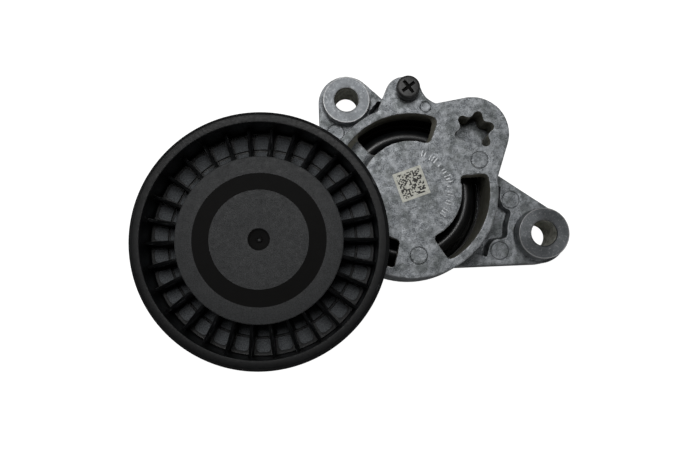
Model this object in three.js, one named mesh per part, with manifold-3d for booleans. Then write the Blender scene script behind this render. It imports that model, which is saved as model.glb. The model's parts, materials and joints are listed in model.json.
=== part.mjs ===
// Automatic belt tensioner with a smooth idler pulley.
// Millimetres, +Z up. The origin is on the pivot axis, in the plane of the rear mounting face.
// +Z points out of the engine towards the pulley's front; the arm swings about Z.
import * as THREE from 'three';
import { mergeVertices } from 'three/addons/utils/BufferGeometryUtils.js';
import Module from 'manifold-3d';

const wasm = await Module();
wasm.setup();

// ---------------------------------------------------------------- driving dimensions
const GAP = 0.3;                        // clearance between pieces that touch
const DEG = Math.PI / 180;

// Base casting
const FLANGE_RADIUS = 27.4;
const FLANGE_TOP = 9.6;
const FLOOR_THICKNESS = 3.0;            // floor under the spring
const EAR_TOP = 10.5;                   // front face of both ear plates
const LEFT_EAR = { x: -20.9, y: 33.8, hole: 4.25, boss: 8.1, plate: 9.7, bossTop: 15.5 };
const RIGHT_EAR = { x: 46.2, y: -12.7, hole: 4.5, boss: 8.7, plate: 9.9, bossTop: 17.5 };
const TUBE_RADIUS = 11.0;               // pivot tube that stands on the floor
const TUBE_BORE = 8.3;
const TUBE_TOP = 20.2;
const FOOT = { radius: 14.5, top: 6.5 };  // thicker floor round the tube, over the rear recess
const REAR_RECESS = { radius: 13.5, depth: 3.4 };

// Pivot
const SHAFT_RADIUS = 6.9;
const SHAFT_TOP = 26.0;
const RIVET_HEAD = { radius: 8.6, height: 0.6 };

// Torsion spring
const SPRING = { radius: 19.9, wire: 5.6, turns: 2.1, start: 164 };   // start: angle of the lower end

// Arm casting
const ARM_FRONT = 28.5;                 // front face of the arm plate
const ARM_PLATE = 4.0;                  // plate thickness
const WALL_OUTER = 28.7;                // cup wall
const WALL_INNER = 25.6;
const WALL_BOTTOM = 11.2;
const DISC_RADIUS = 16.6;               // centre disc, inner edge of the windows
const WINDOWS = [[72, 131], [-63, 14], [222, 257]];   // start and end angle of each arc window
const CHANNEL = [131, 222];             // sunken sector of the plate, towards the pulley
const LOW_PLATE = { bottom: 21.7, top: 24.3 };
const PIN = { x: -1.1, y: 33.4, radius: 2.0, bore: 2.3, tip: 11.0 };
const SOCKET = { x: 20.9, y: 19.9, tip: 6.8, valley: 4.8, floor: 17.5, phase: 16 };
const SOCKET_LOBE = { x: 20.4, y: 19.3, r: 12.1 };

// Pulley and its 17 x 40 x 12 ball bearing
const PULLEY = { x: -47.4, y: -17.8, radius: 38.5, back: 25.5, front: 50.5 };
const PULLEY_SWEEP = PULLEY.radius + 1.2;             // room that the arm leaves round the rim
const WEB = { back: 34.5, front: 37.5 };
const HUB_RADIUS = 24.6;
const RIB_COUNT = 30;
const RIB_PHASE = 1;                                  // degrees
const RING_SIDES = 30;                                // facets of the small rings and washers
const BEARING = { bore: 8.5, outer: 20, back: 31.5, front: 43.5, pitch: 14.25, ball: 3.37, balls: 8 };

// ---------------------------------------------------------------- materials
const material = (color, roughness, metalness) =>
  new THREE.MeshStandardMaterial({ color, roughness, metalness });
const CAST = material('#8f9292', 0.55, 0.6);
const STEEL = material('#9fa2a4', 0.35, 0.9);
const BEARING_STEEL = material('#b7babd', 0.2, 1.0);
const SPRING_PAINT = material('#0b0b0c', 0.25, 0.1);
const BLACK_PLASTIC = material('#1d2022', 0.6, 0.0);
const CAP_PLASTIC = material('#25292b', 0.7, 0.0);
const BUSH_POLYMER = material('#3a3630', 0.5, 0.0);
const RUBBER = material('#161616', 0.8, 0.0);

// ---------------------------------------------------------------- geometry helpers
function toSolid(geometry) {
  const bare = geometry.clone();
  bare.deleteAttribute('normal');
  bare.deleteAttribute('uv');
  const merged = mergeVertices(bare, 1e-4);
  return new wasm.Manifold(new wasm.Mesh({
    numProp: 3,
    vertProperties: new Float32Array(merged.attributes.position.array),
    triVerts: new Uint32Array(merged.index.array),
  }));
}

function addMesh(group, name, solid, look) {
  const { vertProperties, triVerts } = solid.getMesh();
  const geometry = new THREE.BufferGeometry();
  geometry.setAttribute('position', new THREE.BufferAttribute(new Float32Array(vertProperties), 3));
  geometry.setIndex(new THREE.BufferAttribute(new Uint32Array(triVerts), 1));
  geometry.computeVertexNormals();
  const mesh = new THREE.Mesh(geometry, look);
  mesh.name = name;
  group.add(mesh);
  return mesh;
}

const join = (...solids) => solids.reduce((whole, next) => whole.add(next));

// Upright cylinder from bottom to top.
function rod(radius, bottom, top, x = 0, y = 0, sides = 36) {
  const geometry = new THREE.CylinderGeometry(radius, radius, top - bottom, sides);
  geometry.rotateX(Math.PI / 2).translate(x, y, (bottom + top) / 2);
  return toSolid(geometry);
}

// Solid of revolution about Z; points are [radius, height], anticlockwise round the section.
function turned(points, sides = RING_SIDES) {
  const section = [...points, points[0]].map(([r, z]) => new THREE.Vector2(r, z));
  return toSolid(new THREE.LatheGeometry(section, sides).rotateX(Math.PI / 2));
}

function tube(inner, outer, bottom, top, sides = RING_SIDES) {
  return turned([[inner, bottom], [outer, bottom], [outer, top], [inner, top]], sides);
}

function slab(shape, bottom, top) {
  const options = { depth: top - bottom, bevelEnabled: false, curveSegments: 16 };
  return toSolid(new THREE.ExtrudeGeometry(shape, options).translate(0, 0, bottom));
}

// Outline of a band stretched round circles { x, y, r }: the convex hull of their rims.
function band(circles, sides = 36) {
  const rim = circles.flatMap(({ x, y, r }) => Array.from({ length: sides }, (_, i) => {
    const turn = 2 * Math.PI * i / sides;
    return [x + r * Math.cos(turn), y + r * Math.sin(turn)];
  }));
  rim.sort((a, b) => a[0] - b[0] || a[1] - b[1]);
  const half = (points) => {
    const chain = [];
    for (const p of points) {
      while (chain.length > 1) {
        const [a, b] = chain.slice(-2);
        const cross = (b[0] - a[0]) * (p[1] - a[1]) - (b[1] - a[1]) * (p[0] - a[0]);
        if (cross > 1e-6) break;
        chain.pop();
      }
      chain.push(p);
    }
    return chain.slice(0, -1);
  };
  const hull = [...half(rim), ...half([...rim].reverse())];
  return new THREE.Shape(hull.map(([x, y]) => new THREE.Vector2(x, y)));
}

// Sector of a ring between two radii and two angles in degrees.
function sector(inner, outer, from, to) {
  const shape = new THREE.Shape();
  shape.absarc(0, 0, outer, from * DEG, to * DEG, false);
  shape.absarc(0, 0, inner, to * DEG, from * DEG, true);
  return shape;
}

// Six-lobe drive outline.
function sixLobe(valley, tip, phase) {
  const middle = (valley + tip) / 2;
  const swing = (tip - valley) / 2;
  const points = Array.from({ length: 48 }, (_, i) => {
    const turn = i * 7.5 * DEG;
    const r = middle + swing * Math.cos(6 * (turn - phase * DEG));
    return new THREE.Vector2(r * Math.cos(turn), r * Math.sin(turn));
  });
  return new THREE.Shape(points);
}

// ---------------------------------------------------------------- base casting
function baseHousing() {
  const ear = ({ x, y, plate }) => ({ x, y, r: plate });
  const leftWeb = [{ x: -4.5, y: 14.5, r: 13.2 }, { x: -15.5, y: 6, r: 14.2 }];
  const leftPlate = slab(band([ear(LEFT_EAR), ...leftWeb]), 0, EAR_TOP);
  const rightPlate = slab(band([ear(RIGHT_EAR), { x: 0, y: 0, r: 24.7 }]), 0, EAR_TOP);
  const lockLug = slab(band([{ x: PIN.x, y: PIN.y, r: 4.4 }, { x: -3, y: 20, r: 9 }]), 0, EAR_TOP);
  const boss = ({ x, y, boss: radius, bossTop }) => rod(radius, 0, bossTop, x, y, 40);
  const hole = ({ x, y, hole: radius }) => rod(radius, -1, 30, x, y, 32);

  const cup = rod(FLANGE_RADIUS, 0, FLANGE_TOP, 0, 0, 48);
  const underArm = rod(WALL_OUTER + 0.4, FLANGE_TOP, EAR_TOP + 1, 0, 0, 48);
  const springWell = join(
    tube(FOOT.radius, WALL_INNER - 0.4, FLOOR_THICKNESS, FLANGE_TOP + 2, 48),
    tube(TUBE_RADIUS, FOOT.radius + 0.1, FOOT.top, FLANGE_TOP + 2, 36),
  );
  const pocket = slab(earPocket(), EAR_TOP - 3, EAR_TOP + 1);
  const rightCore = slab(band([{ x: 31.5, y: -3.5, r: 2.8 }, { x: 31.5, y: -15.5, r: 2.8 },
    { x: 34, y: -9.5, r: 3 }], 16), -1, 4.5);
  const leftCore = slab(band([{ x: -22.5, y: 22, r: 2.2 }, { x: -11, y: 29.5, r: 2.2 }], 16), -1, 4.5);
  const slot = rod(1.2, EAR_TOP - 5, EAR_TOP + 1, -13.6, 30.6, 12);

  return join(leftPlate, rightPlate, lockLug, cup)
    .subtract(underArm)
    .add(boss(LEFT_EAR)).add(boss(RIGHT_EAR))
    .add(rod(TUBE_RADIUS + 0.1, 0, TUBE_TOP))
    .subtract(springWell)
    .subtract(rod(TUBE_BORE, -1, TUBE_TOP + 1))
    .subtract(rod(REAR_RECESS.radius, -1, REAR_RECESS.depth))
    .subtract(pocket).subtract(rightCore).subtract(leftCore).subtract(slot)
    .subtract(hole(LEFT_EAR)).subtract(hole(RIGHT_EAR))
    .subtract(rod(PIN.bore, -1, EAR_TOP + 1, PIN.x, PIN.y, 16));
}

// Sunken field of the right ear plate, between the cup wall and a wavy step round two ejector pads.
function earPocket() {
  const step = [[30.6, 5.4], [33.0, 4.1], [32.6, -0.6], [34.6, -4.4], [36.2, -6.3], [35.2, -10.3],
    [34.9, -13.4], [33.4, -14.5], [30.9, -14.9], [29.4, -16.2], [28.0, -20.5]];
  const shape = new THREE.Shape();
  shape.moveTo(26, 5.4);
  shape.lineTo(...step[0]);
  shape.splineThru(step.slice(1).map(([x, y]) => new THREE.Vector2(x, y)));
  shape.lineTo(20, -18);
  return shape;
}

// ---------------------------------------------------------------- torsion spring
class Helix extends THREE.Curve {
  getPoint(t, target = new THREE.Vector3()) {
    const turn = (SPRING.turns * 360 * t + SPRING.start) * DEG;
    const bottom = FLOOR_THICKNESS + GAP + SPRING.wire / 2;
    const rise = SPRING.turns * (SPRING.wire + GAP);
    return target.set(SPRING.radius * Math.cos(turn), SPRING.radius * Math.sin(turn), bottom + rise * t);
  }
}

function torsionSpring() {
  const section = new THREE.Shape();
  section.absarc(0, 0, SPRING.wire / 2, 0, 2 * Math.PI, false);
  const options = { steps: 50, extrudePath: new Helix(), curveSegments: 4 };
  return toSolid(new THREE.ExtrudeGeometry(section, options));
}

// ---------------------------------------------------------------- arm casting
function tensionArm() {
  const bottomOfPlate = ARM_FRONT - ARM_PLATE;
  const lobes = [
    slab(band([{ x: -2.2, y: 32, r: 6 }, { x: -2.4, y: 25, r: 8.5 }]), 20, ARM_FRONT),
    slab(band([SOCKET_LOBE, { x: 4, y: 20.6, r: 7.8 }]), 20, ARM_FRONT),
    slab(band([SOCKET_LOBE, { x: 18, y: 6, r: 10.4 }]), 20, ARM_FRONT),
    rod(SOCKET_LOBE.r, 12, ARM_FRONT, SOCKET_LOBE.x, SOCKET_LOBE.y),
  ];
  const neck = slab(band([{ ...PULLEY, r: 13 }, { x: -15, y: -5.5, r: 15.5 }]), 12, LOW_PLATE.top);
  const cup = rod(WALL_OUTER, WALL_BOTTOM, ARM_FRONT, 0, 0, 48);
  const inside = join(
    rod(WALL_INNER, 0, LOW_PLATE.bottom, 0, 0, 48),
    rod(WALL_INNER, LOW_PLATE.bottom - 1, bottomOfPlate, 0, 0, 48)
      .subtract(slab(sector(0.1, 40, ...CHANNEL), 0, ARM_FRONT))
      .subtract(slab(band([{ x: 24, y: 23, r: 11 }]), 0, ARM_FRONT)),
  );
  const hub = rod(14, TUBE_TOP + 1.3, ARM_FRONT);
  const windows = WINDOWS.map(([from, to]) =>
    slab(sector(DISC_RADIUS, WALL_INNER, from, to), LOW_PLATE.bottom - 1, ARM_FRONT + 1));
  const channel = slab(sector(DISC_RADIUS, WALL_INNER, ...CHANNEL), LOW_PLATE.top, ARM_FRONT + 1);
  const sweep = rod(PULLEY_SWEEP, LOW_PLATE.top, ARM_FRONT + 1, PULLEY.x, PULLEY.y, 48);
  const socket = slab(sixLobe(SOCKET.valley, SOCKET.tip, SOCKET.phase), SOCKET.floor, ARM_FRONT + 1)
    .translate(SOCKET.x, SOCKET.y, 0);
  const neckCore = slab(band([{ x: -30.2, y: -17.2, r: 3.2 }, { x: -34.2, y: -6.4, r: 3.2 }], 16), 11, 20);

  const body = join(cup, neck, ...lobes)
    .subtract(inside)
    .subtract(channel)
    .subtract(sweep)
    .add(hub.subtract(sweep));
  const pulleyBoss = join(
    rod(11.5, 12, BEARING.back - 1.9, PULLEY.x, PULLEY.y),
    rod(BEARING.bore - GAP, 12, BEARING.front - 0.6, PULLEY.x, PULLEY.y),
  );
  return windows.reduce((solid, window) => solid.subtract(window), body)
    .subtract(neckCore)
    .add(pulleyBoss)
    .subtract(rod(5, 15, 60, PULLEY.x, PULLEY.y, 24))
    .subtract(socket)
    .subtract(rod(PIN.bore, 0, ARM_FRONT + 1, PIN.x, PIN.y, 16))
    .subtract(rod(SHAFT_RADIUS + GAP, 0, SHAFT_TOP + GAP));
}

// ---------------------------------------------------------------- pivot
function pivotShaft() {
  return join(
    rod(RIVET_HEAD.radius, 0, RIVET_HEAD.height, 0, 0, 48),
    rod(SHAFT_RADIUS, 0, SHAFT_TOP),
  );
}

const thrustWasher = () => tube(SHAFT_RADIUS + GAP, 13.2, TUBE_TOP + GAP, TUBE_TOP + 1);
const frictionRing = () => tube(25.4, 27.8, FLANGE_TOP + GAP, WALL_BOTTOM - GAP, 48);

// ---------------------------------------------------------------- lock pin
function lockPin() {
  const shank = turned([
    [0.1, PIN.tip], [1.2, PIN.tip], [PIN.radius, PIN.tip + 1.5], [PIN.radius, 30], [0.1, 30],
  ], 16);
  const head = turned([
    [0.1, 28.8], [3, 28.8], [3, 30.2], [3.85, 30.2], [3.85, 32.8], [3.3, 33.3], [0.1, 33.3],
  ], 24);
  const bar = (turn) => {
    const geometry = new THREE.BoxGeometry(4.6, 1.1, 3);
    return toSolid(geometry.rotateZ(turn * DEG).translate(0, 0, 33.6));
  };
  return join(shank, rod(1.5, PIN.tip, 33.3, 0, 0, 12), head)
    .subtract(bar(38)).subtract(bar(128));
}

// ---------------------------------------------------------------- pulley
function pulleyRim() {
  const seat = BEARING.outer + GAP;
  const shell = turned([
    [seat, 29.9], [HUB_RADIUS, 29.9], [HUB_RADIUS, WEB.back], [34.8, WEB.back], [34.8, PULLEY.back],
    [37.7, PULLEY.back], [PULLEY.radius, 26.5], [PULLEY.radius, 49.3], [37.3, PULLEY.front],
    [34.8, PULLEY.front], [34.8, WEB.front], [HUB_RADIUS, WEB.front], [HUB_RADIUS, 48.6], [seat, 48.6],
  ], 60);
  const ribSide = (points) => new THREE.Shape(points.map(([r, z]) => new THREE.Vector2(r, z)));
  const plate = (shape) => toSolid(new THREE.ExtrudeGeometry(shape, { depth: 1, bevelEnabled: false })
    .translate(0, 0, -0.5).rotateX(Math.PI / 2));
  const frontRib = plate(ribSide([[24, 36.5], [35.3, 36.5], [35.3, 43.6], [24, 47.8]]));
  const rearRib = plate(ribSide([[24, 35.5], [24, 30.6], [35.3, 28.4], [35.3, 35.5]]));
  const ribs = Array.from({ length: RIB_COUNT }, (_, i) => {
    const turn = RIB_PHASE + i * 360 / RIB_COUNT;
    return frontRib.add(rearRib).rotate([0, 0, turn]);
  });
  return join(shell, ...ribs);
}

function dustCap() {
  return turned([
    [0.6, 49.4], [18.4, 48.9], [18.4, 45.5], [19.9, 45.5], [19.9, 48.9], [24.9, 48.9],
    [24.9, 50.0], [24.5, 50.4], [19.8, 50.4], [14.7, 51.4], [3.2, 51.4], [0.6, 50.5],
  ], 40);
}

function pulleyBolt() {
  const hex = new THREE.CylinderGeometry(7.5, 7.5, 2.9, 6);
  return join(
    rod(4.7, 18, 46, 0, 0, 24),
    rod(8.6, 45.4, 46.4, 0, 0, 36),
    toSolid(hex.rotateX(Math.PI / 2).translate(0, 0, 47.2)),
  );
}

// ---------------------------------------------------------------- ball bearing
const { bore, outer, back, front, pitch, ball, balls } = BEARING;
const MIDDLE = (back + front) / 2;
const GROOVE = ball + 0.25;

// Section of a race: shoulder radius on the ball side, with an arc groove cut by a ring of ball section.
function race(inner, outerRadius) {
  const points = Array.from({ length: 10 }, (_, i) => {
    const turn = 2 * Math.PI * i / 10;
    return [pitch + GROOVE * Math.cos(turn), MIDDLE + GROOVE * Math.sin(turn)];
  });
  return tube(inner, outerRadius, back, front).subtract(turned(points));
}

function ballCage() {
  const pockets = Array.from({ length: balls }, (_, i) => ballAt(i, GROOVE + 0.4, 8, 6));
  return pockets.reduce((ring, pocket) => ring.subtract(pocket),
    tube(pitch - 0.9, pitch + 0.9, MIDDLE - 2.6, MIDDLE + 4.2, 32));
}

function ballAt(index, radius, around = 10, along = 6) {
  const turn = 2 * Math.PI * index / balls;
  const geometry = new THREE.SphereGeometry(radius, around, along).rotateX(Math.PI / 2);
  geometry.translate(pitch * Math.cos(turn), pitch * Math.sin(turn), MIDDLE);
  return toSolid(geometry);
}

// ---------------------------------------------------------------- assembly
const tensioner = new THREE.Group();
const pulleyAxis = new THREE.Group();
pulleyAxis.position.set(PULLEY.x, PULLEY.y, 0);
const pinAxis = new THREE.Group();
pinAxis.position.set(PIN.x, PIN.y, 0);
tensioner.add(pulleyAxis, pinAxis);

addMesh(tensioner, 'base_housing', baseHousing(), CAST);
addMesh(tensioner, 'pivot_bush', tube(SHAFT_RADIUS + GAP, TUBE_BORE - GAP, 4, 20), BUSH_POLYMER);
addMesh(tensioner, 'thrust_washer', thrustWasher(), BUSH_POLYMER);
addMesh(tensioner, 'friction_ring', frictionRing(), BUSH_POLYMER);
addMesh(tensioner, 'torsion_spring', torsionSpring(), SPRING_PAINT);

addMesh(tensioner, 'tension_arm', tensionArm(), CAST);
addMesh(tensioner, 'pivot_shaft', pivotShaft(), STEEL);
addMesh(tensioner, 'retaining_plate', tube(SHAFT_RADIUS + GAP, 12.8, 0.9, 3.1), STEEL);

addMesh(pinAxis, 'lock_pin', lockPin(), BLACK_PLASTIC);

addMesh(pulleyAxis, 'rear_dust_shield', tube(BEARING.bore, 16, 29.9, 31.2), STEEL);
addMesh(pulleyAxis, 'bearing_inner_ring', race(bore, 12), BEARING_STEEL);
addMesh(pulleyAxis, 'bearing_outer_ring', race(16.6, outer), BEARING_STEEL);
addMesh(pulleyAxis, 'rear_seal', tube(12.3, 16.3, back + 0.2, back + 1.2), RUBBER);
addMesh(pulleyAxis, 'front_seal', tube(12.3, 16.3, front - 1.2, front - 0.2), RUBBER);
addMesh(pulleyAxis, 'ball_cage', ballCage(), STEEL);
for (let i = 0; i < balls; i += 1) {
  addMesh(pulleyAxis, `bearing_ball_${i + 1}`, ballAt(i, ball), BEARING_STEEL);
}
addMesh(pulleyAxis, 'clamp_washer', tube(5, 11, front + GAP, 45.1), STEEL);
addMesh(pulleyAxis, 'pulley_bolt', pulleyBolt(), STEEL);
addMesh(pulleyAxis, 'pulley_rim', pulleyRim(), BLACK_PLASTIC);
addMesh(pulleyAxis, 'dust_cap', dustCap(), CAP_PLASTIC);

export default tensioner;
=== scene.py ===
"""Belt tensioner with a smooth idler pulley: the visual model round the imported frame.

Shapes are modelled in millimetres, in the frame's axes, and scaled to metres when a piece is finished.
"""
import json
import math
import random

import bpy
from mathutils import Matrix, Vector, geometry


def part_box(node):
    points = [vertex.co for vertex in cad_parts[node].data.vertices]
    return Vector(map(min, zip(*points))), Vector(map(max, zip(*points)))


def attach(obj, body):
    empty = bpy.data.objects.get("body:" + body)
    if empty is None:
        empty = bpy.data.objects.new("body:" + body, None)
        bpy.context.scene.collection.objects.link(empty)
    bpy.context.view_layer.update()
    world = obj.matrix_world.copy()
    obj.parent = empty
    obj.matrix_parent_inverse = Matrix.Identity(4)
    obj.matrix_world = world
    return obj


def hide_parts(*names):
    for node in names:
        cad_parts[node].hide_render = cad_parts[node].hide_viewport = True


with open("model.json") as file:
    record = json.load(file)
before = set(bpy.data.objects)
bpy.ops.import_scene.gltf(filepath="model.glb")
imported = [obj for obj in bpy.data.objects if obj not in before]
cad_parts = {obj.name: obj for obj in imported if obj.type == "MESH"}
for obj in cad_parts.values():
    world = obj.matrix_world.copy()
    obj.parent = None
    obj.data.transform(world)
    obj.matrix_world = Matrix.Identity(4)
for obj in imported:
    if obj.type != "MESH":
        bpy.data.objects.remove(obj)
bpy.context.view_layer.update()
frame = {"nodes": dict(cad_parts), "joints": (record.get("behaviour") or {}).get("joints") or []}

MM = 0.001
VOXEL = 0.30     # grain of the skin put over a casting, in mm
EASE = 5            # rounds of smoothing over that skin


# ---------------------------------------------------------------- sizes, in millimetres
def joint_axis(name):
    """X and Y of a joint's axis, from the frame."""
    joint = next(j for j in frame["joints"] if j["name"] == name)
    return joint["pos_m"][0] / MM, joint["pos_m"][1] / MM


def node_box(name):
    """Lowest and highest corners of a CAD node."""
    low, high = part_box(name)
    return [v / MM for v in low], [v / MM for v in high]


PULLEY = joint_axis("pulley_spin")
_pin_low, _pin_high = node_box("lock_pin")
PIN = ((_pin_low[0] + _pin_high[0]) / 2, (_pin_low[1] + _pin_high[1]) / 2)
ARM_FRONT = 28.5                         # front face of the arm, over a plate this thick
PLATE = 4.0
CUP = 28.5                               # the arm's round wall: radii and lower end
CUP_INSIDE = 25.6
CUP_BOTTOM = 11.2
DISC = 16.6                              # radius of the arm's middle, inside the windows
LOW_TOP = 24.3                           # the arm's lower part, under the pulley
LOW_BOTTOM = 21.7
ROOT = 12                                # height where the arm's solid parts begin
EAR_TOP = 10.5                           # base: upper face of the ears
BELOW = -1.5                             # base: rough lower end, cut off at 0 after the skin
FLANGE = 27.4                            # base: round flange under the arm's wall
FLANGE_TOP = 9.6
SHAFT_HOLE = 7.2                         # hole through the arm for the pivot shaft
LEFT_EAR = {"at": (-20.9, 33.8), "hole": 4.15, "boss": 8.1, "plate": 9.75, "top": 15.5}
RIGHT_EAR = {"at": (46.25, -12.85), "hole": 4.35, "boss": 8.7, "plate": 9.95, "top": 17.5}
SOCKET = (20.9, 19.9)
SOCKET_FLOOR = 17.6
SOCKET_LOBE = (20.4, 19.3, 12.1)         # lobes of the arm's outline: x, y, radius
PIN_LOBE = (-2.2, 32.0, 6.15)
RIM = 38.5                               # pulley: radius, ends, web and hub
RIM_BACK = 25.5
RIM_FRONT = 50.5
WEB_BACK = 34.5
WEB_FRONT = 37.5
HUB = 24.6
RIBS = 30
RIB_PHASE = 1.0
PAD_TOP = WEB_FRONT + 0.12               # flat middle of each bay's floor, a little proud of the web
LABEL = {"at": (0.0, 2.3), "side": 9.8, "field": 8.1, "cells": 18, "turn": 20}


# ---------------------------------------------------------------- outlines
def arc(x, y, radius, start, end, steps=24):
    """Points along an arc, angles in degrees."""
    turns = [math.radians(start + (end - start) * i / steps) for i in range(steps + 1)]
    return [(x + radius * math.cos(t), y + radius * math.sin(t)) for t in turns]


def circle(x, y, radius, steps=96):
    return arc(x, y, radius, 0, 360, steps)[:-1]


def rectangle(width, depth):
    """Outline of a rectangle round the origin."""
    x, y = width / 2, depth / 2
    return [(-x, -y), (x, -y), (x, y), (-x, y)]


def band(circles, steps=120):
    """Outline of a band stretched round circles (x, y, radius)."""
    rim = [p for c in circles for p in circle(*c, steps)]
    hull = geometry.convex_hull_2d(rim)
    return [rim[i] for i in hull]


def filleted(corners, steps=5):
    """Closed outline through corners (a, b, fillet radius)."""
    points = []
    for i, (a, b, radius) in enumerate(corners):
        here = Vector((a, b))
        before = Vector(corners[i - 1][:2]) - here
        after = Vector(corners[(i + 1) % len(corners)][:2]) - here
        if radius <= 0:
            points.append((a, b))
            continue
        half = before.angle(after) / 2
        reach = min(radius / math.tan(half), 0.48 * before.length, 0.48 * after.length)
        radius = reach * math.tan(half)
        before.normalize()
        after.normalize()
        centre = here + (before + after).normalized() * radius / math.sin(half)
        first = here + before * reach - centre
        last = here + after * reach - centre
        sweep = math.atan2(first.cross(last), first.dot(last))
        for k in range(steps + 1):
            spoke = Matrix.Rotation(sweep * k / steps, 2) @ first
            points.append(tuple(centre + spoke))
    return points


# ---------------------------------------------------------------- solids
def solid(name, vertices, faces):
    mesh = bpy.data.meshes.new(name)
    mesh.from_pydata(vertices, [], faces)
    piece = bpy.data.objects.new(name, mesh)
    bpy.context.collection.objects.link(piece)
    return piece


def prism(outline, bottom, top):
    """Upright solid over an anticlockwise outline."""
    count = len(outline)
    vertices = [(x, y, z) for z in (bottom, top) for x, y in outline]
    sides = [(i, (i + 1) % count, (i + 1) % count + count, i + count) for i in range(count)]
    lids = [tuple(range(count))[::-1], tuple(range(count, 2 * count))]
    return solid("prism", vertices, sides + lids)


def loft(lower, upper, bottom, top):
    """Solid between two outlines with the same number of points."""
    block = prism(lower, bottom, top)
    for vertex, (x, y) in zip(block.data.vertices[len(lower):], upper):
        vertex.co.x, vertex.co.y = x, y
    return block


def move(points, x, y):
    return [(a + x, b + y) for a, b in points]


def turned(profile, at=(0, 0), steps=144):
    """Closed section of (radius, height), anticlockwise, turned about the vertical through at."""
    rings, vertices, faces = [], [], []
    for radius, height in profile:
        sides = 1 if radius < 1e-6 else steps
        rings.append([len(vertices) + i for i in range(sides)])
        for i in range(sides):
            turn = 2 * math.pi * i / steps
            vertices.append((at[0] + radius * math.cos(turn), at[1] + radius * math.sin(turn), height))
    for lower, upper in zip(rings, rings[1:] + rings[:1]):
        for i in range(steps):
            j = (i + 1) % steps
            around = ((lower, i), (lower, j), (upper, j), (upper, i))
            corners = list(dict.fromkeys(ring[k % len(ring)] for ring, k in around))
            if len(corners) > 2:
                faces.append(corners)
    return solid("turned", vertices, faces)


def rod(radius, bottom, top, at=(0, 0), steps=96):
    return prism(circle(*at, radius, steps), bottom, top)


def apply(piece):
    """Replaces a piece's mesh with what its modifiers make of it."""
    graph = bpy.context.evaluated_depsgraph_get()
    mesh = bpy.data.meshes.new_from_object(piece.evaluated_get(graph))
    piece.modifiers.clear()
    piece.data = mesh


def carve(piece, tool, operation="DIFFERENCE"):
    """Cuts a tool from a piece, or joins it on, and deletes the tool."""
    cut = piece.modifiers.new("cut", "BOOLEAN")
    cut.operation = operation
    cut.solver = "MANIFOLD"
    cut.object = tool
    apply(piece)
    bpy.data.objects.remove(tool)
    return piece


def join(*tools):
    whole = tools[0]
    for tool in tools[1:]:
        carve(whole, tool, "UNION")
    return whole


def cut_all(piece, *tools):
    for tool in tools:
        carve(piece, tool)
    return piece


def cast_skin(piece):
    """Rounds every edge and corner, as a casting's are."""
    skin = piece.modifiers.new("skin", "REMESH")
    skin.mode = "VOXEL"
    skin.voxel_size = VOXEL
    ease = piece.modifiers.new("ease", "SMOOTH")
    ease.factor = 0.5
    ease.iterations = EASE
    apply(piece)


def web(first, second, fillet):
    """Solid between two circles (x, y, radius) with a hollow fillet on the left of first to second."""
    a, b = Vector(first[:2]), Vector(second[:2])
    span = (b - a).length
    to_a, to_b = first[2] + fillet, second[2] + fillet
    along = (to_a ** 2 - to_b ** 2 + span ** 2) / (2 * span)
    aside = math.sqrt(max(to_a ** 2 - along ** 2, 0))
    step = (b - a) / span
    corner = a + step * along + Vector((-step.y, step.x)) * aside
    block = prism([tuple(a), tuple(b), tuple(corner)], 20, ARM_FRONT)
    return carve(block, rod(fillet, 19, ARM_FRONT + 1, tuple(corner)))


def finish_piece(piece, name, body, materials, replaces=(), material_of=None):
    """Scales a piece to metres, names it, gives it its materials and puts it on its body.

    material_of says which of the materials a face has, and sees the face in millimetres.
    """
    picks = [material_of(face) for face in piece.data.polygons] if material_of else []
    piece.data.transform(Matrix.Scale(MM, 4))
    piece.name = name
    piece.data.name = name
    piece.data.shade_smooth()
    piece.data.set_sharp_from_angle(angle=math.radians(32))
    piece.data.materials.clear()
    for material in materials:
        piece.data.materials.append(material)
    for face, index in zip(piece.data.polygons, picks):
        face.material_index = index
    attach(piece, body)
    if replaces:
        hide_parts(*replaces)


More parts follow.
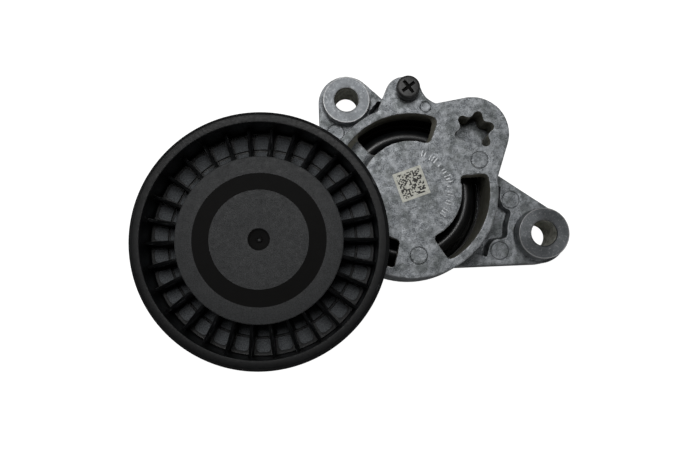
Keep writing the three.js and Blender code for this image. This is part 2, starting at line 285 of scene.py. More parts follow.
# ---------------------------------------------------------------- materials
class Look:
    """A principled material, wired up step by step from the object's own coordinates."""

    def __init__(self, name, color, roughness, metallic=0.0, specular=0.5):
        self.material = bpy.data.materials.new(name)
        self.material.use_nodes = True
        self.tree = self.material.node_tree
        self.shader = self.tree.nodes["Principled BSDF"]
        self.shader.inputs["Base Color"].default_value = (*color, 1)
        self.shader.inputs["Roughness"].default_value = roughness
        self.shader.inputs["Metallic"].default_value = metallic
        self.shader.inputs["Specular IOR Level"].default_value = specular
        self.place = self.node("ShaderNodeTexCoord").outputs["Object"]
        self.normal = None

    def node(self, kind, **settings):
        made = self.tree.nodes.new(kind)
        for key, value in settings.items():
            setattr(made, key, value)
        return made

    def feed(self, socket, value):
        if isinstance(value, bpy.types.NodeSocket):
            self.tree.links.new(value, socket)
        else:
            socket.default_value = value

    def noise(self, size, detail=4.0, roughness=0.55, stretch=None):
        """Noise whose lumps are about size millimetres across."""
        made = self.node("ShaderNodeTexNoise")
        place = self.place
        if stretch:
            warp = self.node("ShaderNodeVectorMath", operation="MULTIPLY")
            self.feed(warp.inputs[0], place)
            warp.inputs[1].default_value = stretch
            place = warp.outputs[0]
        self.feed(made.inputs["Vector"], place)
        made.inputs["Scale"].default_value = 1 / (size * MM)
        made.inputs["Detail"].default_value = detail
        made.inputs["Roughness"].default_value = roughness
        return made.outputs[0]

    def spread(self, value, low, high, start=0.0, end=1.0):
        made = self.node("ShaderNodeMapRange")
        self.feed(made.inputs["Value"], value)
        for key, number in (("From Min", low), ("From Max", high), ("To Min", start), ("To Max", end)):
            made.inputs[key].default_value = number
        return made.outputs["Result"]

    def math(self, operation, a, b=0.0):
        made = self.node("ShaderNodeMath", operation=operation)
        self.feed(made.inputs[0], a)
        self.feed(made.inputs[1], b)
        return made.outputs[0]

    def mix(self, factor, a, b):
        made = self.node("ShaderNodeMix", data_type="RGBA")
        self.feed(made.inputs[0], factor)
        self.feed(made.inputs[6], a)
        self.feed(made.inputs[7], b)
        return made.outputs[2]

    def bump(self, height, depth, strength=1.0):
        """Relief of depth millimetres."""
        made = self.node("ShaderNodeBump")
        made.inputs["Distance"].default_value = depth * MM
        made.inputs["Strength"].default_value = strength
        self.feed(made.inputs["Height"], height)
        if self.normal:
            self.feed(made.inputs["Normal"], self.normal)
        self.normal = made.outputs["Normal"]

    def edges(self, low, high):
        """1 on convex edges, 0 on flats."""
        made = self.node("ShaderNodeNewGeometry")
        return self.spread(made.outputs["Pointiness"], low, high)

    def radius_from(self, at):
        """Distance from an upright axis, in millimetres."""
        flat = self.node("ShaderNodeVectorMath", operation="MULTIPLY")
        self.feed(flat.inputs[0], self.place)
        flat.inputs[1].default_value = (1 / MM, 1 / MM, 0)
        away = self.node("ShaderNodeVectorMath", operation="DISTANCE")
        self.feed(away.inputs[0], flat.outputs[0])
        away.inputs[1].default_value = (*at, 0)
        return away.outputs["Value"]

    def done(self, color=None, roughness=None):
        if color is not None:
            self.feed(self.shader.inputs["Base Color"], color)
        if roughness is not None:
            self.feed(self.shader.inputs["Roughness"], roughness)
        if self.normal:
            self.feed(self.shader.inputs["Normal"], self.normal)
        return self.material


def grey(value, cool=0.0):
    """Linear grey, a little blue when cool is above 0."""
    return (value * (1 - cool), value, value * (1 + cool), 1)


def within(look, value, low, high):
    """1 where a value lies between two bounds."""
    above = look.math("GREATER_THAN", value, low)
    return look.math("MULTIPLY", above, look.math("LESS_THAN", value, high))


def cast_mottle(look):
    """Colour of the clean casting: patches, bright specks, stains, pits, and convex edges lightened as
    rubbed wear and as a painted highlight.
    """
    blotch = look.spread(look.noise(2.4, 5, 0.72), 0.40, 0.60)
    speck = look.spread(look.noise(0.42, 5, 0.8), 0.46, 0.56)
    stain = look.spread(look.noise(5.0, 5, 0.65), 0.47, 0.62)
    pits = look.spread(look.noise(0.8, 5, 0.8), 0.36, 0.44, 1, 0)
    color = look.mix(blotch, grey(0.118, 0.07), grey(0.35, 0.04))
    color = look.mix(look.math("MULTIPLY", speck, 0.6), color, grey(0.44, 0.05))
    color = look.mix(look.math("MULTIPLY", stain, 0.6), color, (0.075, 0.085, 0.080, 1))
    color = look.mix(look.math("MULTIPLY", pits, 0.75), color, (0.03, 0.03, 0.027, 1))
    # convex edges lightened: partly rubbed wear, partly a painted highlight
    return look.mix(look.math("MULTIPLY", look.edges(0.515, 0.58), 0.45), color, grey(0.50, 0.0))


def cast_tone_and_painted_shade(look, color):
    """Brown tone on the steep walls of windows and socket, the well painted black as shade, and painted
    shade in the corners.
    """
    split = look.node("ShaderNodeSeparateXYZ")
    look.feed(split.inputs[0], look.place)
    height = look.math("DIVIDE", split.outputs[2], MM)
    facing = look.node("ShaderNodeSeparateXYZ")
    look.feed(facing.inputs[0], look.node("ShaderNodeNewGeometry").outputs["Normal"])
    steep = look.math("LESS_THAN", look.math("ABSOLUTE", facing.outputs[2]), 0.55)
    reach = look.radius_from((0, 0))
    window_wall = look.math("MULTIPLY", steep, within(look, reach, 16.0, CUP_INSIDE + 0.3))
    socket_wall = look.math("MULTIPLY", steep, look.math("LESS_THAN", look.radius_from(SOCKET), 7.4))
    walls = look.math("MAXIMUM", window_wall, socket_wall)
    walls = look.math("MULTIPLY", walls, within(look, height, 11.5, 28.2))
    wall_mottle = look.spread(look.noise(1.0, 4, 0.7), 0.35, 0.65, 0.6, 0.9)
    color = look.mix(look.math("MULTIPLY", walls, wall_mottle), color, (0.190, 0.178, 0.130, 1))

    # the well is painted black as shade, but for the arm's wall on the right, which keeps the brown tone
    # down to its lower end
    inside = look.math("LESS_THAN", reach, CUP_INSIDE + 0.3)
    well = look.math("MULTIPLY", inside, within(look, height, 2.5, 20.0))
    low_wall = look.math("MULTIPLY", look.math("GREATER_THAN", reach, CUP_INSIDE - 0.2),
                         look.math("GREATER_THAN", height, 12.0))
    low_wall = look.math("MULTIPLY", low_wall, look.math("GREATER_THAN", split.outputs[0], 12 * MM))
    well = look.math("MULTIPLY", well, look.math("SUBTRACT", 1.0, low_wall))
    color = look.mix(look.math("MULTIPLY", well, 0.97), color, (0.006, 0.006, 0.005, 1))

    # painted shade: occlusion darkens hollows, corners and the lines between parts, less on the toned
    # walls
    hollow = look.node("ShaderNodeAmbientOcclusion", samples=8)
    hollow.inputs["Distance"].default_value = 1.6 * MM
    corner = look.spread(hollow.outputs["AO"], 0.45, 0.92, 1, 0)
    amount = look.math("SUBTRACT", 0.7, look.math("MULTIPLY", walls, 0.5))
    color = look.mix(look.math("MULTIPLY", corner, amount), color, (0.022, 0.022, 0.020, 1))
    return color, look.math("MAXIMUM", walls, well)


def cast_aluminium():
    look = Look("cast_aluminium", (0.12, 0.12, 0.12), 0.5, 0.8, 0.15)
    color, tone_and_shade_mask = cast_tone_and_painted_shade(look, cast_mottle(look))
    # less metallic on the brown-toned walls and in the well painted black as shade
    look.feed(look.shader.inputs["Metallic"], look.spread(tone_and_shade_mask, 0, 1, 0.8, 0.2))
    look.bump(look.noise(0.7, 4, 0.65), 0.12, 0.6)
    look.bump(look.noise(0.25, 2, 0.5), 0.03, 0.5)
    return look.done(color, look.spread(look.noise(1.6, 3), 0.35, 0.65, 0.46, 0.62))


def machined_aluminium(name, ear, low, high):
    """Turned boss face: fine rings and scratches between a bright outer edge, a painted highlight of the
    chamfer catching light, and a dark inner one.
    """
    look = Look(name, (0.3, 0.3, 0.3), 0.34, 0.9)
    away = look.radius_from(ear["at"])
    rings = look.math("SINE", look.math("MULTIPLY", away, 14.0))
    haze = look.spread(look.noise(3.5, 2, 0.5), 0.35, 0.65)
    color = look.mix(haze, grey(low, 0.06), grey(high, 0.06))
    color = look.mix(look.math("MULTIPLY", look.spread(rings, -1, 1), 0.35), color, grey(0.07, 0.02))
    scratch = look.spread(look.noise(0.8, 4, 0.8), 0.56, 0.62)
    color = look.mix(look.math("MULTIPLY", scratch, 0.5), color, grey(0.34, 0.02))
    # painted highlight: the outer edge lightened as a chamfer catching light
    outer = look.spread(away, ear["boss"] - 0.5, ear["boss"] - 0.1, 0, 0.7)
    inner = look.spread(away, ear["hole"] + 0.1, ear["hole"] + 0.8, 0.6, 0)
    color = look.mix(inner, look.mix(outer, color, grey(0.45, 0.0)), grey(0.04, 0.0))
    look.bump(rings, 0.02, 0.6)
    return look.done(color, look.spread(look.noise(1.2, 3), 0.3, 0.7, 0.34, 0.46))


def bore_aluminium():
    look = Look("bolt_bore", (0.3, 0.3, 0.3), 0.5, 0.3)
    haze = look.spread(look.noise(1.2, 4, 0.6, (1, 1, 0.4)), 0.35, 0.65)
    look.bump(look.noise(0.4, 3, 0.6), 0.03, 0.5)
    return look.done(look.mix(haze, (0.34, 0.34, 0.30, 1), (0.75, 0.75, 0.69, 1)))


def rubbed_aluminium():
    look = Look("rubbed_aluminium", (0.5, 0.5, 0.5), 0.45, 0.6)
    look.bump(look.noise(0.3, 3, 0.6), 0.03, 0.5)
    wear = look.spread(look.noise(0.6, 4, 0.7), 0.4, 0.6)
    return look.done(look.mix(wear, grey(0.22, 0.04), grey(0.60, 0.03)))


def polyamide():
    look = Look("pulley_polyamide", (0.008, 0.008, 0.008), 0.4, 0.0, 0.15)
    tone = look.spread(look.noise(5.0, 4, 0.6), 0.3, 0.7)
    color = look.mix(tone, grey(0.003, 0.08), grey(0.006, 0.08))
    # lighter convex edges: partly scuffed wear, partly a painted reflection along the rim's rounded
    # edges
    edge_patches = look.spread(look.noise(1.6, 6, 0.8), 0.50, 0.60)
    scuff_and_sheen = look.math("MULTIPLY", look.edges(0.52, 0.56), edge_patches)
    color = look.mix(look.math("MULTIPLY", scuff_and_sheen, 0.6), color, grey(0.10, 0.03))
    look.bump(look.noise(0.5, 4, 0.6), 0.02, 0.5)
    return look.done(color, look.spread(look.noise(0.9, 4), 0.3, 0.7, 0.30, 0.46))


def painted_light_floor():
    """Bottom of the pulley's pockets, painted light grey for the light the flat floors catch."""
    look = Look("pulley_floor", (0.03, 0.03, 0.03), 0.7, 0.0, 0.3)
    grain = look.noise(0.4, 4, 0.75)
    color = look.mix(look.spread(grain, 0.40, 0.62), grey(0.040, 0.09), grey(0.130, 0.07))
    look.bump(grain, 0.05, 0.7)
    return look.done(color)


def cap_plastic():
    look = Look("cap_plastic", (0.02, 0.02, 0.02), 0.6, 0.0, 0.4)
    grain = look.noise(0.36, 4, 0.75)
    color = look.mix(look.spread(grain, 0.38, 0.62), grey(0.009, 0.05), grey(0.033, 0.06))
    look.bump(grain, 0.07, 1.0)
    return look.done(color, look.spread(look.noise(1.5, 3), 0.3, 0.7, 0.50, 0.64))


# dark band of the cap, also used as painted shade in the cap's dimple and the pin's cross recess
def cap_band():
    look = Look("cap_band", (0.004, 0.004, 0.004), 0.75, 0.0, 0.12)
    look.bump(look.noise(0.35, 3, 0.6), 0.02, 0.4)
    color = look.mix(look.noise(2.0, 3), grey(0.004, -0.05), grey(0.006, -0.03))
    return look.done(color)


def spring_paint():
    look = Look("spring_paint", (0.004, 0.004, 0.005), 0.22, 0.0, 0.6)
    color = look.mix(look.noise(3.0, 4), grey(0.003, 0.0), grey(0.008, 0.15))
    return look.done(color, look.spread(look.noise(2.0, 3), 0.3, 0.7, 0.28, 0.36))


def pin_plastic():
    look = Look("pin_plastic", (0.012, 0.012, 0.012), 0.45, 0.0, 0.5)
    look.bump(look.noise(0.4, 4, 0.6), 0.03, 0.5)
    color = look.mix(look.noise(1.0, 4), grey(0.010, 0.0), grey(0.022, 0.0))
    return look.done(color)


def steel(name="plated_steel", value=0.45, roughness=0.35):
    look = Look(name, (value, value, value), roughness, 1.0)
    tone = look.spread(look.noise(2.0, 5, 0.6), 0.3, 0.7)
    color = look.mix(tone, grey(value * 0.75, 0.02), grey(value, 0.02))
    look.bump(look.noise(0.3, 3, 0.6), 0.01, 0.5)
    return look.done(color, look.spread(look.noise(0.8, 3), 0.3, 0.7, roughness * 0.8, roughness * 1.2))


def rubber(name="seal_rubber", value=0.012):
    look = Look(name, (value, value, value), 0.7, 0.0, 0.35)
    look.bump(look.noise(0.5, 3, 0.6), 0.03, 0.5)
    color = look.mix(look.noise(1.5, 3), grey(value * 0.7), grey(value * 1.3))
    return look.done(color)


def label_print():
    """Pale patch with a scatter of small dark squares."""
    look = Look("label_print", (0.4, 0.4, 0.36), 0.55, 0.0, 0.4)
    cell = look.node("ShaderNodeVectorMath", operation="SNAP")
    turn = look.node("ShaderNodeMapping", vector_type="POINT")
    look.feed(turn.inputs["Vector"], look.place)
    turn.inputs["Rotation"].default_value = (0, 0, -math.radians(LABEL["turn"]))
    look.feed(cell.inputs[0], turn.outputs[0])
    pitch = LABEL["field"] / LABEL["cells"] * MM
    cell.inputs[1].default_value = (pitch, pitch, 1)
    chance = look.node("ShaderNodeTexWhiteNoise", noise_dimensions="2D")
    look.feed(chance.inputs["Vector"], cell.outputs[0])
    dots = look.math("GREATER_THAN", chance.outputs["Value"], 0.52)
    centre = Matrix.Rotation(-math.radians(LABEL["turn"]), 2) @ Vector(LABEL["at"])
    split = look.node("ShaderNodeSeparateXYZ")
    look.feed(split.inputs[0], turn.outputs[0])
    for axis in (0, 1):
        away = look.math("ABSOLUTE", look.math("SUBTRACT", split.outputs[axis], centre[axis] * MM))
        dots = look.math("MULTIPLY", dots, look.math("LESS_THAN", away, LABEL["field"] / 2 * MM))
    worn = look.spread(look.noise(0.4, 4, 0.7), 0.28, 0.40)
    dots = look.math("MULTIPLY", dots, worn)
    stain = look.spread(look.noise(1.0, 4), 0.3, 0.7)
    paper = look.mix(stain, (0.55, 0.55, 0.48, 1), (0.85, 0.85, 0.76, 1))
    color = look.mix(dots, paper, (0.02, 0.018, 0.015, 1))
    return look.done(color)


CAST = cast_aluminium()
STEEL = steel()
POLISHED = steel("bearing_steel", 0.6, 0.15)
RUBBER = rubber()
BUSHING = rubber("bush_polymer", 0.03)


# ---------------------------------------------------------------- base casting
def ear_pocket():
    """Sunken field beside the cup wall, behind a wavy step round two ejector pads."""
    step = [
        (30.6, 5.4, 0), (33.1, 4.1, 0.8), (32.9, -0.4, 1.2), (34.0, -2.9, 1.4), (36.8, -4.7, 1.2),
        (35.5, -8.8, 1.8), (35.1, -13.9, 1.4), (30.4, -14.5, 1.4), (28.9, -16.6, 1.0), (28.0, -20.5, 0),
    ]
    return filleted([(24, 5.4, 0), *step, (20, -18, 0)][::-1])


def base_casting():
    """Round flange and pivot tube with two mounting ears and a lug under the lock pin."""
    left, right = LEFT_EAR, RIGHT_EAR
    left_ear = band([(*left["at"], left["plate"]), (-4.5, 14.5, 13.2), (-15.5, 6, 14.2)])
    right_ear = band([(*right["at"], right["plate"]), (0, 0, 24.7)])
    pin_lug = band([(*PIN, 4.4), (-3, 20, 9)])
    body = join(
        prism(left_ear, BELOW, EAR_TOP),
        prism(right_ear, BELOW, EAR_TOP),
        prism(pin_lug, BELOW, EAR_TOP),
        rod(FLANGE, BELOW, FLANGE_TOP),
    )
    cut_all(body, rod(CUP + 0.4, FLANGE_TOP, 20, steps=180))
    for ear in (left, right):
        join(body, rod(ear["boss"], BELOW, ear["top"] + 2, ear["at"]))
    join(body, rod(11.1, 0, 20.2))
    # spring's trough, neck round the tube, sunken field, relief behind it, slot beside the left boss
    cut_all(
        body,
        turned([(14.5, 3), (25.2, 3), (25.2, 12), (14.5, 12)]),
        turned([(11, 6.5), (14.6, 6.5), (14.6, 12), (11, 12)]),
        loft(move(ear_pocket(), -0.6, 0.3), ear_pocket(), EAR_TOP - 4.3, EAR_TOP + 0.1),
        prism(band([(31.5, -3.5, 2.8), (31.5, -15.5, 2.8), (34, -9.5, 3)]), -3, 4.5),
        prism(band([(-11.7, 30.3, 1.1), (-9.3, 33.6, 0.9)]), 4, EAR_TOP + 2),
    )
    cast_skin(body)
    # machining: mounting face, bush's bore, recess for the retaining plate, hole under the pin
    cut_all(
        body,
        prism(rectangle(180, 180), -5, 0),
        rod(8.3, -1, 30),
        turned(filleted([(0, -1, 0), (13.9, -1, 0), (13.5, 0.3, 0), (13.5, 3.4, 0), (0, 3.4, 0)])),
        rod(2.3, -1, 20, PIN, 32),
    )
    for ear in (left, right):
        hole, boss, top = ear["hole"], ear["boss"], ear["top"]
        over = top + 0.1
        bore = [(0, -1), (hole + 1.2, -1), (hole, 0.5), (hole, top - 0.2), (hole + 0.3, over), (0, over)]
        edge = [(boss - 0.22, over), (boss + 0.6, top - 0.72), (boss + 0.6, over)]
        cut_all(body, rod(boss + 3, top, top + 5, ear["at"]), turned(bore, ear["at"]),
                turned(edge, ear["at"]))
    return body


def ejector_mark(piece, x, y, radius, top):
    """Witness of an ejector pin: a thin round groove."""
    groove = [(radius - 0.45, top + 0.1), (radius, top - 0.16), (radius + 0.45, top + 0.1)]
    carve(piece, turned(groove, (x, y), steps=48))


def base_material(face):
    """1 and 2 are the boss faces, 3 the bolt holes, 0 everything else."""
    for index, ear in enumerate((LEFT_EAR, RIGHT_EAR), 1):
        away = (face.center.xy - Vector(ear["at"])).length
        on_top = abs(face.center.z - ear["top"]) < 0.15 and away < ear["boss"] + 0.1
        if face.normal.z > 0.6 and on_top:
            return index
        if abs(face.normal.z) < 0.5 and away < ear["hole"] + 0.1:
            return 3
    return 0


base = base_casting()
for mark in ((36.8, -0.5, 3.0), (32.6, -18.4, 3.1), (-24.5, 23.2, 3.0)):
    ejector_mark(base, *mark, EAR_TOP)
BASE_LOOKS = [
    CAST,
    # both boss faces have one finish; the right face's darker tones than the left's are painted shade
    machined_aluminium("left_boss_face", LEFT_EAR, 0.14, 0.18),
    machined_aluminium("right_boss_face", RIGHT_EAR, 0.115, 0.155),
    bore_aluminium(),
]
finish_piece(base, "base_cast", "base", BASE_LOOKS, ["base_housing"], base_material)


# ---------------------------------------------------------------- spring
def spring():
    """Torsion spring: a round wire wound as a plain coil with closed ends."""
    radius, wire, turns, start, steps, sides = 19.9, 2.8, 2.1, 164.0, 260, 28
    low = 3.3 + wire
    rise = turns * (2 * wire + 0.3)
    vertices, faces = [], []
    for i in range(steps + 1):
        turn = math.radians(start + 360 * turns * i / steps)
        ease = min(i, steps - i, 6) / 6
        thick = wire * (0.86 + 0.14 * math.sin(ease * math.pi / 2))
        for k in range(sides):
            tilt = 2 * math.pi * k / sides
            reach = radius + thick * math.cos(tilt)
            vertices.append((reach * math.cos(turn), reach * math.sin(turn),
                             low + rise * i / steps + thick * math.sin(tilt)))
    for i in range(steps):
        for k in range(sides):
            j = (k + 1) % sides
            faces.append((i * sides + k, (i + 1) * sides + k, (i + 1) * sides + j, i * sides + j))
    faces += [tuple(range(sides)), tuple(range(steps * sides, (steps + 1) * sides))[::-1]]
    return solid("spring", vertices, faces)


finish_piece(spring(), "spring_coil", "base", [spring_paint()], ["torsion_spring"])


# ---------------------------------------------------------------- arm casting
def six_lobe(valley, tip, phase, steps=144):
    """Six-lobe drive outline."""
    points = []
    for i in range(steps):
        turn = 2 * math.pi * i / steps
        wave = math.cos(6 * (turn - math.radians(phase)))
        radius = (valley + tip) / 2 + (tip - valley) / 2 * math.copysign(abs(wave) ** 0.8, wave)
        points.append((radius * math.cos(turn), radius * math.sin(turn)))
    return points


def sector(inner, outer, start, end, bottom, top):
    """Upright ring sector."""
    outline = arc(0, 0, outer, start, end, 90) + arc(0, 0, inner, end, start, 90)
    return prism(outline, bottom, top)


def window(inner, outer, first, last, rounding):
    """Outline of an arc window: its ends run from an inner to an outer angle, with rounded corners."""
    corners = []
    for radius, start, end in ((outer, first[1], last[1]), (inner, last[0], first[0])):
        bend = math.degrees(rounding / radius) * (1 if end > start else -1)
        corners.append((*arc(0, 0, radius, start, start, 1)[0], rounding))
        corners += [(*p, 0) for p in arc(0, 0, radius, start + 1.4 * bend, end - 1.4 * bend, 90)]
        corners.append((*arc(0, 0, radius, end, end, 1)[0], rounding))
    return filleted(corners, 8)


# Each window: angles of its first and last end (inner, outer), how far each end leans in, corner radius.
WINDOWS = (
    ((68.0, 69.0), (135.3, 135.3), (8.5, 0), 2.8),
    ((-65.5, -62.0), (17.5, 13.0), (3.0, -3.0), 2.2),
    ((222, 222), (256.5, 257), (0, 0), 1.5),
)


def pulley_room():
    """Space the turning pulley needs above the low arm."""
    return rod(RIM + 1.2, LOW_TOP, ARM_FRONT + 5, PULLEY, 180)


def arm_casting():
    """Cup with a front plate and lobes for socket and pin, and a low arm that carries the pulley."""
    lobe, pin = SOCKET_LOBE, PIN_LOBE
    cup = [(0, CUP_BOTTOM), (CUP + 0.8, CUP_BOTTOM), (CUP + 0.1, ARM_FRONT), (0, ARM_FRONT)]
    plate = join(
        turned(cup, steps=180),
        prism(band([pin, (-2.4, 25, 8.6)]), 18, ARM_FRONT),
        prism(band([lobe, (4, 20.4, 7.8)]), 18, ARM_FRONT),
        prism(band([lobe, (18, 6, 10.4)]), 18, ARM_FRONT),
        rod(lobe[2], ROOT, ARM_FRONT, lobe[:2]),
        prism(band([(*PULLEY, 13), (-15, -5.5, 15.5)]), ROOT, LOW_TOP),
    )
    join(plate, web(pin, lobe, 7.5), web(lobe, (0, 0, CUP), 12))
    cut_all(plate, rod(CUP_INSIDE, 0, LOW_BOTTOM, steps=180))
    hollow = rod(CUP_INSIDE, LOW_BOTTOM - 1, ARM_FRONT - PLATE, steps=180)
    cut_all(hollow, sector(0.1, 40, 131, 222, 0, 40), rod(11, 0, 40, (24, 23)))
    cut_all(plate, hollow, pulley_room())
    join(plate, cut_all(rod(14, 21.5, ARM_FRONT - 1), pulley_room()))
    trough = filleted([(16.7, 26.2, 0), (18.4, 24.4, 2.4), (23.6, 24.4, 2.6), (25.7, 28.0, 0),
                       (25.7, 34, 0), (16.7, 34, 0)])
    scoop = carve(turned(trough, steps=240), sector(0.1, 40, 125, 226, 0, 60), "INTERSECT")
    carve(plate, scoop)
    for first, last, draft, rounding in WINDOWS:
        deep = [[angle + slope for angle in end] for end, slope in zip((first, last), draft)]
        lower = window(DISC + 0.1, CUP_INSIDE, *deep, rounding)
        upper = window(DISC + 0.1, CUP_INSIDE + 0.1, first, last, rounding)
        carve(plate, loft(lower, upper, LOW_BOTTOM - 3, ARM_FRONT + 0.1))
    carve(plate, prism(band([(-30.2, -17.2, 3.2), (-34.2, -6.4, 3.2)]), 10, 20))
    join(plate, rod(11.5, ROOT, 29.6, PULLEY), rod(8.4, ROOT, 42.9, PULLEY))
    cast_skin(plate)
    # machining: socket, shaft's hole, bolt's hole, pin's hole, shoulder for the bearing
    cut_all(
        plate,
        prism(move(six_lobe(4.85, 6.8, 16), *SOCKET), SOCKET_FLOOR, ARM_FRONT + 5),
        rod(SHAFT_HOLE, 0, 26.3),
        rod(5, 15, 60, PULLEY, 48),
        rod(2.35, 0, ARM_FRONT + 5, PIN, 32),
        turned([(8.2, 29.8), (14, 29.8), (14, 50), (8.2, 50)], PULLEY),
    )
    return plate


arm = arm_casting()
for mark in ((5.0, 27.9, 1.75), (22.55, 10.25, 2.8), (2.25, -21.25, 2.8)):
    ejector_mark(arm, *mark, ARM_FRONT)
finish_piece(arm, "arm_cast", "arm", [CAST], ["tension_arm"])


# ---------------------------------------------------------------- pulley
def pulley_shell():
    """Rim, web and hub turned in one, with ribs on both sides of the web and pads between them."""
    section = filleted([
        (20.3, 29.9, 0.3), (HUB, 29.9, 0.4), (HUB, WEB_BACK, 0.5), (34.9, WEB_BACK, 0.5),
        (35.2, RIM_BACK, 0.4), (37.8, RIM_BACK, 0.5), (RIM, 26.3, 0.5), (RIM, 49.5, 0.6),
        (37.6, RIM_FRONT, 0.5), (35.2, RIM_FRONT, 0.25), (34.85, WEB_FRONT, 0.5),
        (29.4, WEB_FRONT, 0.05), (29.3, 37.1, 0.05), (28.7, 37.1, 0.05), (28.6, WEB_FRONT, 0.05),
        (24.4, WEB_FRONT, 0.5), (24.4, 48.6, 0.2), (20.3, 48.6, 0.2),
    ], 4)
    shell = turned(section, steps=240)
    front = filleted([(24, 37, 0), (35.3, 37, 0), (35.3, 43.4, 0), (24, 47.9, 0)])
    back = filleted([(24, 35, 0), (24, 30.6, 0), (35.3, 28.4, 0), (35.3, 35, 0)])
    ribs = []
    for i in range(RIBS):
        turn = Matrix.Rotation(math.radians(RIB_PHASE + 360 * i / RIBS), 4, "Z")
        for side in (front, back):
            rib = prism(side, -0.5, 0.5)
            rib.data.transform(turn @ Matrix.Rotation(math.radians(90), 4, "X"))
            soften = rib.modifiers.new("soften", "BEVEL")
            soften.width, soften.segments, soften.limit_method = 0.3, 3, "ANGLE"
            apply(rib)
            ribs.append(rib)
    outer_pad = filleted([(29.5, -2.05, 0.4), (33.6, -2.2, 1.3), (33.6, 2.2, 1.3), (29.5, 2.05, 0.4)])
    inner_pad = filleted([(25.2, -1.55, 0.3), (28.6, -1.85, 0.3), (28.6, 1.85, 0.3), (25.2, 1.55, 0.3)])
    for i in range(RIBS):
        middle = RIB_PHASE + (i + 0.5) * 360 / RIBS
        for pad in (outer_pad, inner_pad):
            floor = prism(pad, 37.2, PAD_TOP)
            floor.data.transform(Matrix.Rotation(math.radians(middle), 4, "Z"))
            ribs.append(floor)
    return join(shell, *ribs)


def cap():
    """Dust cap: a flat rim, a smooth coned band and a raised middle with a coned dimple."""
    section = filleted([
        (0, 49.2, 0), (18.4, 48.9, 0.3), (18.4, 45.5, 0.2), (19.9, 45.5, 0.2), (19.9, 48.9, 0.3),
        (24.95, 48.9, 0.2), (24.95, 50.3, 0.35), (19.9, 50.35, 0.12), (14.7, 51.35, 0.12),
        (3.3, 51.4, 0.12), (2.7, 50.6, 0.4), (1.0, 50.2, 0.1), (0.85, 50.6, 0.12), (0.5, 50.6, 0.1),
        (0.4, 49.9, 0), (0, 49.9, 0),
    ], 4)
    return turned(section, steps=200)


def pulley_material(face):
    """1 on the bays' floor pads, which carry the floor's painted light."""
    return 1 if face.normal.z > 0.9 and abs(face.center.z - PAD_TOP) < 0.02 else 0


def cap_material(face):
    """1 on the coned band, and in the dimple as painted shade."""
    reach = (face.center.xy - Vector(PULLEY)).length
    coned = 14.9 < reach < 19.75 and face.center.z > 50
    # the dimple takes the dark band colour as painted shade
    dimple = reach < 3.1 and 50 < face.center.z < 51.3
    return 1 if coned or dimple else 0


def at_pulley(piece):
    piece.data.transform(Matrix.Translation((*PULLEY, 0)))
    return piece


finish_piece(at_pulley(pulley_shell()), "pulley_body", "pulley",
             [polyamide(), painted_light_floor()], ["pulley_rim"], pulley_material)
finish_piece(at_pulley(cap()), "cap", "pulley",
             [cap_plastic(), cap_band()], ["dust_cap"], cap_material)


# ---------------------------------------------------------------- lock pin
def lock_pin():
    """Pin with a collar and a round head, and a cross recess in the head."""
    head = filleted([(0, 11, 0), (1.2, 11, 0.3), (2.0, 12.5, 0.3), (2.0, 28.8, 0), (3.0, 28.8, 0.2),
                     (3.0, 30.2, 0.2), (3.85, 30.2, 0.3), (3.85, 33.3, 0.8), (0, 33.3, 0)], 4)
    piece = turned(head, steps=72)
    for turn in (38, 128):
        bar = prism(rectangle(5, 1.1), 32.3, 35)
        bar.data.transform(Matrix.Rotation(math.radians(turn), 4, "Z"))
        carve(piece, bar)
    piece.data.transform(Matrix.Translation((*PIN, 0)))
    return piece


def pin_material(face):
    """1 on the walls and floor of the cross recess, painted dark as shade."""
    inside = face.center.z > 32.2 and (face.center.xy - Vector(PIN)).length < 2.6
    return 1 if inside and (face.normal.z < 0.5 or face.center.z < 32.4) else 0


# the cross recess takes the cap's dark band material as painted shade
finish_piece(lock_pin(), "pin", "pin", [pin_plastic(), cap_band()], ["lock_pin"],
             pin_material)


# ---------------------------------------------------------------- pieces that keep their CAD shape
LOOKS = {
    "pivot_bush": BUSHING, "thrust_washer": BUSHING, "friction_ring": BUSHING,
    "pivot_shaft": STEEL, "retaining_plate": STEEL, "rear_dust_shield": STEEL, "ball_cage": STEEL,
    "clamp_washer": STEEL, "pulley_bolt": STEEL, "rear_seal": RUBBER, "front_seal": RUBBER,
    "bearing_inner_ring": POLISHED, "bearing_outer_ring": POLISHED,
}
LOOKS.update({f"bearing_ball_{i}": POLISHED for i in range(1, 9)})
for node, look in LOOKS.items():
    mesh = frame["nodes"][node].data
    mesh.materials.clear()
    mesh.materials.append(look)


# ---------------------------------------------------------------- label and index marks
def label():
    corners = [(x, y, 0.15) for x, y in rectangle(LABEL["side"], LABEL["side"])]
    piece = prism(filleted(corners), ARM_FRONT - 0.3, ARM_FRONT + 0.03)
    piece.data.transform(Matrix.Translation((*LABEL["at"], 0)) @
                         Matrix.Rotation(math.radians(LABEL["turn"]), 4, "Z"))
    return piece


finish_piece(label(), "label", "arm", [label_print()])


def index_marks():
    """Raised strokes round the pivot that stand for relief marks and spell nothing."""
    draw = random.Random(7)
    marks = []
    turn = 74.0
    while turn > -42:
        height = draw.choice((1.5, 2.2, 2.2))
        reach = 12.8 - (2.2 - height) / 2
        stroke = prism(rectangle(0.44, height), ARM_FRONT - 0.3, ARM_FRONT + 0.16)
        stroke.data.transform(Matrix.Rotation(math.radians(turn - 90), 4, "Z") @
                              Matrix.Translation((0, reach, 0)))
        marks.append(stroke)
        turn -= draw.choice((4.5, 6.5, 9.0))
    return join(*marks)


finish_piece(index_marks(), "index_marks", "arm", [rubbed_aluminium()])


# ---------------------------------------------------------------- camera, light, backdrop
CAMERA_AT = (-26.2, -36.4, 273.5)        # in millimetres
CAMERA_AIM = (0.0176, 0.0943, -0.9954)


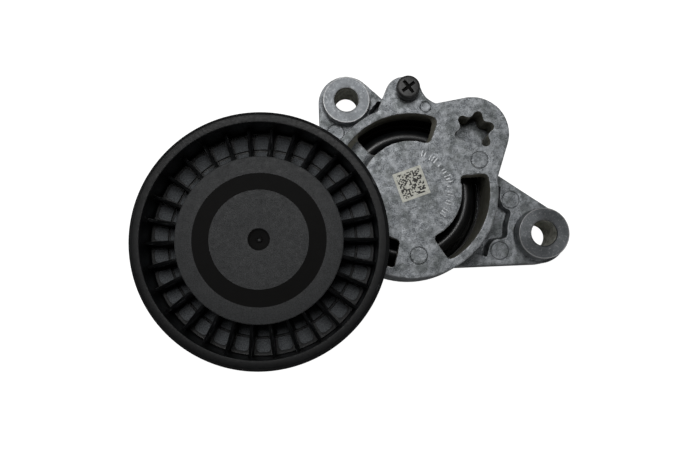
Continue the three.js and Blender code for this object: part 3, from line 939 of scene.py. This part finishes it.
def camera():
    """Nearly straight from the front, a little left of and below the pivot, as in the photograph."""
    data = bpy.data.cameras.new("camera")
    data.lens, data.sensor_width = 39.7, 36
    data.clip_start, data.clip_end = 0.01, 20
    view = bpy.data.objects.new("camera", data)
    bpy.context.collection.objects.link(view)
    forward = Vector(CAMERA_AIM).normalized()
    right = (Vector((1, 0, 0)) - forward * forward.x).normalized()
    up = right.cross(forward)
    view.matrix_world = (Matrix.Translation(Vector(CAMERA_AT) * MM) @
                         Matrix((right, up, -forward)).transposed().to_4x4())
    bpy.context.scene.camera = view


def light(name, at, aim, size, power):
    """Rectangular lamp; at, aim and size in metres."""
    data = bpy.data.lights.new(name, "AREA")
    data.shape = "RECTANGLE"
    data.size, data.size_y = size
    data.energy = power
    lamp = bpy.data.objects.new(name, data)
    bpy.context.collection.objects.link(lamp)
    lamp.location = at
    lamp.rotation_mode = "QUATERNION"
    lamp.rotation_quaternion = (Vector(aim) - Vector(at)).to_track_quat("-Z", "Y")


def backdrop():
    """Plain pale floor just under the mounting face."""
    floor = prism(rectangle(60000, 60000), -40, -1)
    floor.name = floor.data.name = "backdrop"
    floor.data.transform(Matrix.Scale(MM, 4))
    paper = bpy.data.materials.new("backdrop")
    paper.use_nodes = True
    shader = paper.node_tree.nodes["Principled BSDF"]
    shader.inputs["Base Color"].default_value = (0.25, 0.25, 0.25, 1)
    shader.inputs["Roughness"].default_value = 1.0
    shader.inputs["Emission Color"].default_value = (1, 1, 1, 1)
    seen = paper.node_tree.nodes.new("ShaderNodeLightPath").outputs["Is Camera Ray"]
    paper.node_tree.links.new(seen, shader.inputs["Emission Strength"])
    floor.data.materials.append(paper)


def surroundings():
    """Soft room, bright at the horizon and dim overhead, with a key light and a low side light."""
    world = bpy.data.worlds.new("studio")
    bpy.context.scene.world = world
    world.use_nodes = True
    nodes, links = world.node_tree.nodes, world.node_tree.links
    room = nodes["Background"]
    room.inputs["Color"].default_value = (1, 1, 1, 1)
    split = nodes.new("ShaderNodeSeparateXYZ")
    links.new(nodes.new("ShaderNodeTexCoord").outputs["Generated"], split.inputs[0])
    level = nodes.new("ShaderNodeMath")
    level.operation = "ABSOLUTE"
    links.new(split.outputs[2], level.inputs[0])
    fade = nodes.new("ShaderNodeMapRange")
    links.new(level.outputs[0], fade.inputs["Value"])
    horizon, overhead = 0.75, 0.04
    for key, number in (("From Min", 0.0), ("From Max", 0.7), ("To Min", horizon), ("To Max", overhead)):
        fade.inputs[key].default_value = number
    plain = nodes.new("ShaderNodeMath")
    plain.operation = "MAXIMUM"
    links.new(fade.outputs["Result"], plain.inputs[0])
    links.new(nodes.new("ShaderNodeLightPath").outputs["Is Camera Ray"], plain.inputs[1])
    links.new(plain.outputs[0], room.inputs["Strength"])
    bpy.context.scene.view_settings.view_transform = "Standard"
    light("key", (-0.07, 0.17, 0.64), (-0.01, 0, 0.02), (0.30, 0.24), 1.75)
    light("kicker", (-0.55, 0.12, 0.22), (-0.04, 0, 0.04), (0.10, 0.10), 0.22)


camera()
backdrop()
surroundings()
